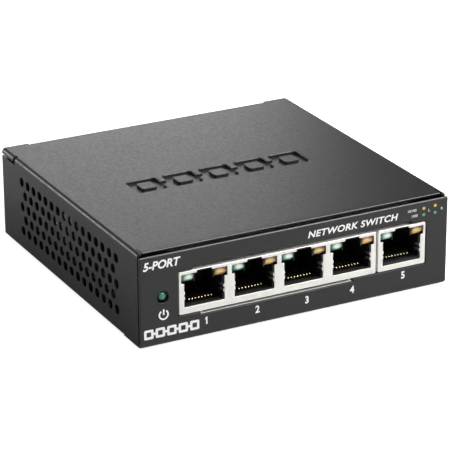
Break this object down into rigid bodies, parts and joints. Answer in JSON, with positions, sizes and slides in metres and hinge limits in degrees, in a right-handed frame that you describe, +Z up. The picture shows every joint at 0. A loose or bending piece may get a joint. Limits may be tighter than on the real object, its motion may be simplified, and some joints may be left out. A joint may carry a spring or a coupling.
{
  "type": "desktop network switch",
  "caption": "Desktop network switch in a folded steel case: shielded network jacks with indicators in front, vented sides, power inlet and lock slot behind.",
  "frame": {"origin": "middle of the footprint, at the level of the undersides of the rubber feet", "axes": "+Z up, +X to the right when facing the ports, -Y out of the front panel with the ports"},
  "size_m": [0.1006, 0.098, 0.0291],
  "materials": {
    "case_paint": "matte black powder coat with a fine orange-peel texture",
    "jack_shield": "satin tinned sheet",
    "jack_moulding": "black moulded plastic",
    "contact_gold": "bright gold plating",
    "led_green": "pale green diffuse lens, unlit",
    "led_amber": "amber diffuse lens, unlit",
    "power_lens": "dark green dome, unlit",
    "board": "green solder mask",
    "foot_rubber": "soft black rubber",
    "screw_steel": "zinc-plated steel",
    "chip_moulding": "black moulding compound",
    "thermal_pad": "soft grey silicone",
    "heat_sink": "satin extruded aluminium",
    "capacitor_sleeve": "shrink sleeve",
    "tin": "tin-plated contact metal",
    "print_white": "white screen print"
  },
  "bodies": {
    "case": {"top_cover": "case_paint", "bottom_chassis": "case_paint", "circuit_board": "board", "quad_jack_shield": "jack_shield", "single_jack_shield": "jack_shield", "quad_jack_housing": "jack_moulding", "single_jack_housing": "jack_moulding", "quad_jack_terminals": "tin", "single_jack_terminals": "tin", "power_led": "power_lens", "power_led_holder": "jack_moulding", "dc_jack_housing": "jack_moulding", "dc_jack_pin": "tin", "switch_chip": "chip_moulding", "memory_chip": "chip_moulding", "regulator_chip": "chip_moulding", "thermal_pad": "thermal_pad", "heat_sink": "heat_sink", "crystal": "tin", "inductor_1": "chip_moulding", "inductor_2": "chip_moulding", "rubber_foot_front_left": "foot_rubber", "rubber_foot_front_right": "foot_rubber", "rubber_foot_rear_left": "foot_rubber", "rubber_foot_rear_right": "foot_rubber", "cover_screw_left": "screw_steel", "cover_screw_right": "screw_steel", "board_screw_1": "screw_steel", "board_screw_2": "screw_steel", "board_screw_3": "screw_steel", "board_screw_4": "screw_steel", "port_1_green_led": "led_green", "port_1_amber_led": "led_amber", "transformer_1": "chip_moulding", "port_2_green_led": "led_green", "port_2_amber_led": "led_amber", "transformer_2": "chip_moulding", "port_3_green_led": "led_green", "port_3_amber_led": "led_amber", "transformer_3": "chip_moulding", "port_4_green_led": "led_green", "port_4_amber_led": "led_amber", "transformer_4": "chip_moulding", "port_5_green_led": "led_green", "port_5_amber_led": "led_amber", "transformer_5": "chip_moulding", "capacitor_1": "capacitor_sleeve", "capacitor_2": "capacitor_sleeve", "capacitor_3": "capacitor_sleeve"},
    "port_1_spring_set": {"port_1_contacts": "contact_gold"},
    "port_2_spring_set": {"port_2_contacts": "contact_gold"},
    "port_3_spring_set": {"port_3_contacts": "contact_gold"},
    "port_4_spring_set": {"port_4_contacts": "contact_gold"},
    "port_5_spring_set": {"port_5_contacts": "contact_gold"},
    "dc_jack_leaf": {"dc_jack_spring": "tin"}
  },
  "joints": [
    {"name": "port_1_contact_flex", "type": "hinge", "parent": "case", "child": "port_1_spring_set", "pos_m": [-0.03005, -0.0458, 0.0113], "axis": [-1, 0, 0], "range_deg": [0, 8], "stiffness_Nm_per_rad": 0.4},
    {"name": "port_2_contact_flex", "type": "hinge", "parent": "case", "child": "port_2_spring_set", "pos_m": [-0.01405, -0.0458, 0.0113], "axis": [-1, 0, 0], "range_deg": [0, 8], "stiffness_Nm_per_rad": 0.4},
    {"name": "port_3_contact_flex", "type": "hinge", "parent": "case", "child": "port_3_spring_set", "pos_m": [0.00195, -0.0458, 0.0113], "axis": [-1, 0, 0], "range_deg": [0, 8], "stiffness_Nm_per_rad": 0.4},
    {"name": "port_4_contact_flex", "type": "hinge", "parent": "case", "child": "port_4_spring_set", "pos_m": [0.01795, -0.0458, 0.0113], "axis": [-1, 0, 0], "range_deg": [0, 8], "stiffness_Nm_per_rad": 0.4},
    {"name": "port_5_contact_flex", "type": "hinge", "parent": "case", "child": "port_5_spring_set", "pos_m": [0.03475, -0.0458, 0.0113], "axis": [-1, 0, 0], "range_deg": [0, 8], "stiffness_Nm_per_rad": 0.4},
    {"name": "dc_jack_spring_flex", "type": "hinge", "parent": "case", "child": "dc_jack_leaf", "pos_m": [0.033, 0.0352, 0.01085], "axis": [-1, 0, 0], "range_deg": [0, 5], "stiffness_Nm_per_rad": 0.2}
  ]
}
